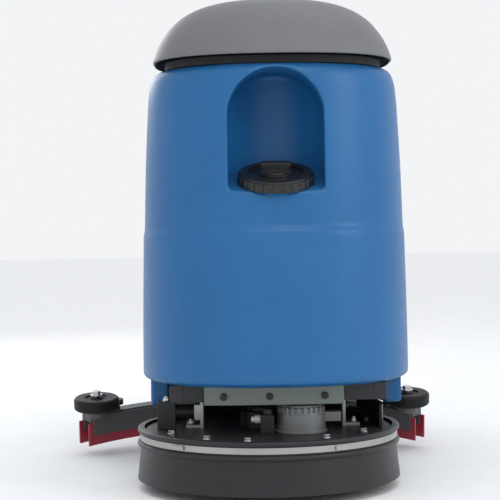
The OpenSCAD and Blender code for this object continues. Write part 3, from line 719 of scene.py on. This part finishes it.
def piping(name, obj, outline, along, thickness, height):
    """A welt round the pad's rim, laid where a ray from outside meets the pad's surface."""
    tree = BVHTree.FromObject(obj, bpy.context.evaluated_depsgraph_get())
    centre = sum((Vector(p) for p in outline), Vector()) / len(outline)
    curve = bpy.data.curves.new(name, "CURVE")
    curve.dimensions = "3D"
    curve.bevel_depth = thickness
    curve.bevel_resolution = 3
    spline = curve.splines.new("POLY")
    points = []
    for p in outline:
        inward = centre - Vector(p)
        inward -= along * inward.dot(along)
        origin = Vector(p) - inward * 0.5 + along * height
        hit = tree.ray_cast(origin, inward.normalized())[0]
        points.append(hit if hit else Vector(p))
    spline.points.add(len(points) - 1)
    for target, p in zip(spline.points, points):
        target.co = (*p, 1)
    spline.use_cyclic_u = True
    welt = bpy.data.objects.new(name, curve)
    bpy.context.scene.collection.objects.link(welt)
    bpy.context.view_layer.update()
    mesh = bpy.data.meshes.new_from_object(welt.evaluated_get(bpy.context.evaluated_depsgraph_get()))
    bpy.data.objects.remove(welt)
    made = bpy.data.objects.new(name, mesh)
    bpy.context.scene.collection.objects.link(made)
    for face in mesh.polygons:
        face.use_smooth = True
    return made


def rim_points(low, high, radius, z, step=0.006):
    """A rounded rectangle in plan, with points spaced evenly enough for a welt."""
    outline = rounded((low.x, low.y), (high.x, high.y), radius, 12)
    points = []
    for (x0, y0), (x1, y1) in zip(outline, outline[1:] + outline[:1]):
        count = max(1, round(math.dist((x0, y0), (x1, y1)) / step))
        points += [Vector((x0 + (x1 - x0) * i / count, y0 + (y1 - y0) * i / count, z))
                   for i in range(count)]
    return points


def seat_pad():
    """The seat's cushion: crowned, with a rim welt, two bolster seams and cross channels."""
    low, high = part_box("seat_cushion")
    pad = rounded_block("seat_pad", low, high, SEAT_RADIUS, inset=0.012)
    bottom = low.z + 0.016
    blow_up(pad, voxel=0.006, pressure=4.0, cap=0.026, held=lambda p: p.z < bottom)
    fit(pad, low, high)
    centre = (low + high) / 2
    seams = [lambda p: abs(abs(p.x - centre.x) - SEAT_SEAM_X)]
    for share in (0.3, 0.5, 0.7):
        y = low.y + (high.y - low.y) * share
        seams.append(lambda p, y=y: abs(p.y - y) if abs(p.x - centre.x) < SEAT_SEAM_X else 1.0)
    upward = [v.normal.z > 0.3 for v in pad.data.vertices]
    for v, faces_up in zip(pad.data.vertices, upward):
        across = min(1, abs(v.co.x - centre.x) / (high.x - centre.x))
        if faces_up:
            v.co.z -= 0.010 * (1 - min(1, across / 0.6) ** 2) * min(1, (high.y - v.co.y) / 0.1)
    pad.data.update()
    press_grooves(pad, seams, width=0.0045, depth=0.0055, side=UP)
    dress_pad(pad, "seat_cushion")
    welt = piping("seat_welt", pad, rim_points(low, high, SEAT_RADIUS, low.z), UP, thickness=0.0032,
                  height=(high.z - low.z) * 0.62)
    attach(welt, "seat")
    dress(welt, "seat_vinyl")


def back_pad():
    """The backrest, made lying flat, then stood up and leaned back about its foot."""
    low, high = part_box("seat_back")
    lean = Matrix.Translation(place(*BACK_FOOT)) @ Matrix.Rotation(BACK_LEAN, 4, "X")
    half, thick, tall = (high.x - low.x) / 2, BACK_THICK, BACK_TALL
    upright = Matrix.Rotation(math.radians(90), 4, "X")
    flat_low, flat_high = Vector((-half, 0, -thick / 2)), Vector((half, tall, thick / 2))
    pad = rounded_block("back_pad", flat_low, flat_high, BACK_RADIUS, inset=0.01)
    blow_up(pad, voxel=0.006, pressure=4.0, cap=0.022, held=lambda p: p.z < -thick / 2 + 0.014)
    fit(pad, flat_low, flat_high)
    seams = [lambda p: abs(abs(p.x) - half * 0.62)]
    for share in (0.35, 0.6):
        seams.append(lambda p, y=tall * share: abs(p.y - y) if abs(p.x) < half * 0.62 else 1.0)
    press_grooves(pad, seams, width=0.0045, depth=0.005, side=UP)
    welt = piping("back_welt", pad, rim_points(flat_low, flat_high, BACK_RADIUS, flat_low.z), UP,
                  thickness=0.003, height=thick * 0.62)
    for piece in (pad, welt):
        piece.data.transform(lean @ upright)
        piece.data.update()
    centre_back(pad, welt, low, high)
    dress_pad(pad, "seat_back")
    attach(welt, "seat")
    dress(welt, "seat_vinyl")


def centre_back(pad, welt, low, high):
    """Moves the leaned backrest to the middle of the room that the CAD keeps for it."""
    co = [v.co for v in pad.data.vertices]
    middle = Vector(((min(p[i] for p in co) + max(p[i] for p in co)) / 2 for i in range(3)))
    for piece in (pad, welt):
        piece.data.transform(Matrix.Translation((low + high) / 2 - middle))


def dress_pad(pad, node):
    for face in pad.data.polygons:
        face.use_smooth = True
    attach(pad, "seat")
    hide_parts(node)
    dress(pad, "seat_vinyl")


# ---------------------------------------------------------------- brush and tyres

FIRST_RING, RING_STEP, TUFT_PITCH, TUFT_BRISTLES, BRISTLE_R = 0.118, 0.0165, 0.0125, 5, 0.0012
THIRDS = (0, 2.094, 4.189)


def bristle_tufts():
    """Tufts of splayed bristles on rings under the brush block."""
    low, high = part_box("brush_bristles")
    centre = (low + high) / 2
    outer = (high.x - low.x) / 2
    rng = random.Random(7)
    bm = bmesh.new()
    radius = FIRST_RING
    while radius < outer - 0.018:
        count = round(2 * math.pi * radius / TUFT_PITCH)
        for k in range(count):
            turn = 2 * math.pi * (k + rng.random() * 0.3) / count
            out = Vector((math.cos(turn), math.sin(turn), 0))
            side = Vector((-out.y, out.x, 0))
            root = Vector((centre.x, centre.y, high.z)) + out * radius
            lean = 0.016 * (radius - FIRST_RING) / (outer - 0.136) - 0.002
            for _ in range(TUFT_BRISTLES):
                foot = root + out * (lean + rng.uniform(-0.004, 0.003)) + side * rng.uniform(-0.006, 0.006)
                foot.z = low.z + rng.uniform(0, 0.0015)
                start = root + out * rng.uniform(-0.002, 0.002) + side * rng.uniform(-0.002, 0.002)
                bristle(bm, start, foot, out, side, BRISTLE_R)
        radius += RING_STEP
    tufts = finish_mesh("bristle_tufts", bm)
    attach(tufts, "brush")
    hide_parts("brush_bristles")
    dress(tufts, "bristles")


def bristle(bm, start, foot, out, side, r):
    """One three-sided bristle, a little bowed, thinner at its tip."""
    rings = []
    for point, size in ((start, r), (start.lerp(foot, 0.5) + out * 0.0008, r), (foot, r * 0.7)):
        rings.append([point + (out * math.cos(t) + side * math.sin(t)) * size for t in THIRDS])
    loft(bm, rings)


SHOULDER, GROOVE_DEPTH, SIPE_DEPTH, STEPS_PER_LUG = 0.009, 0.0035, 0.003, 6


def tyre(name, node, body, slot_name, bore_share, grooves, lugs):
    """A solid tyre with grooves all round and cross sipes at its shoulders."""
    low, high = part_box(node)
    centre = (low + high) / 2
    outer, half = (high.z - low.z) / 2, (high.x - low.x) / 2
    shoulder = [(-half, outer * bore_share), (-half, outer * 0.86), (-half + 0.0015, outer - 0.009),
                (-half + 0.004, outer - 0.004), (-half + SHOULDER, outer - 0.001)]
    profile = list(shoulder)
    for k in range(grooves):
        x = -half + SHOULDER + (2 * half - 2 * SHOULDER) * (k + 1) / (grooves + 1)
        profile += [(x - 0.0028, outer), (x - 0.0016, outer - GROOVE_DEPTH),
                    (x + 0.0016, outer - GROOVE_DEPTH), (x + 0.0028, outer)]
    profile += [(-x, r) for x, r in reversed(shoulder)]
    steps = lugs * STEPS_PER_LUG
    bm = bmesh.new()
    rows = []
    for k in range(steps):
        turn = 2 * math.pi * k / steps
        sipe = k % STEPS_PER_LUG == 0
        ring = []
        for x, r in profile:
            cut = SIPE_DEPTH if sipe and abs(x) > half * 0.55 and r > outer * 0.9 else 0
            ring.append(bm.verts.new((centre.x + x, centre.y + (r - cut) * math.cos(turn),
                                      centre.z + (r - cut) * math.sin(turn))))
        rows.append(ring)
    for a, b in zip(rows, rows[1:] + rows[:1]):
        for i in range(len(profile)):
            j = (i + 1) % len(profile)
            bm.faces.new((a[i], a[j], b[j], b[i]))
    made = finish_mesh(name, bm, smooth=False)
    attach(made, body)
    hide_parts(node)
    dress(made, slot_name)


# ---------------------------------------------------------------- making it all

make_camera(location=(-0.050, -3.590, 0.572), yaw=0.8, pitch=0.73, roll=0.9, lens=101.376)
make_studio()
dress_cad_nodes()
refine(["chassis_rails", "cross_members", "pivot_brackets", "front_plate", "lid_hinge", "footwell_floor",
        "rear_axle", "rear_plate", "deck_hangers", "float_bracket", "lower_lift_arms", "upper_lift_arms",
        "steer_fork", "tow_frame", "water_valve", "batteries", "seat_plate"], width=0.0012)
refine(["frame_bolts", "deck_bolts", "valve_nozzle", "roller_axles", "key_switch", "e_stop", "horn_button",
        "squeegee_knobs", "dash_display", "suction_port", "drain_spout", "float_bush"], width=0.0007)
refine(["dash_console"], width=0.004, segments=3)
refine(["fill_cap", "brush_motor", "gearbox", "drive_hub", "rear_rim_left", "rear_rim_right", "drive_pedal",
        "steering_wheel", "steering_column", "roller_left", "roller_right"], width=0.0012)
tank_shell()
rear_shell()
lid_shell()
seat_pad()
back_pad()
bristle_tufts()
tyre("drive_tread", "drive_tyre", "drive_wheel", "drive_tyre", bore_share=0.762, grooves=2, lugs=30)
for side in ("left", "right"):
    tyre("rear_tread_" + side, "rear_tyre_" + side, "rear_wheel_" + side, "rear_tyre", bore_share=0.676,
         grooves=3, lugs=40)
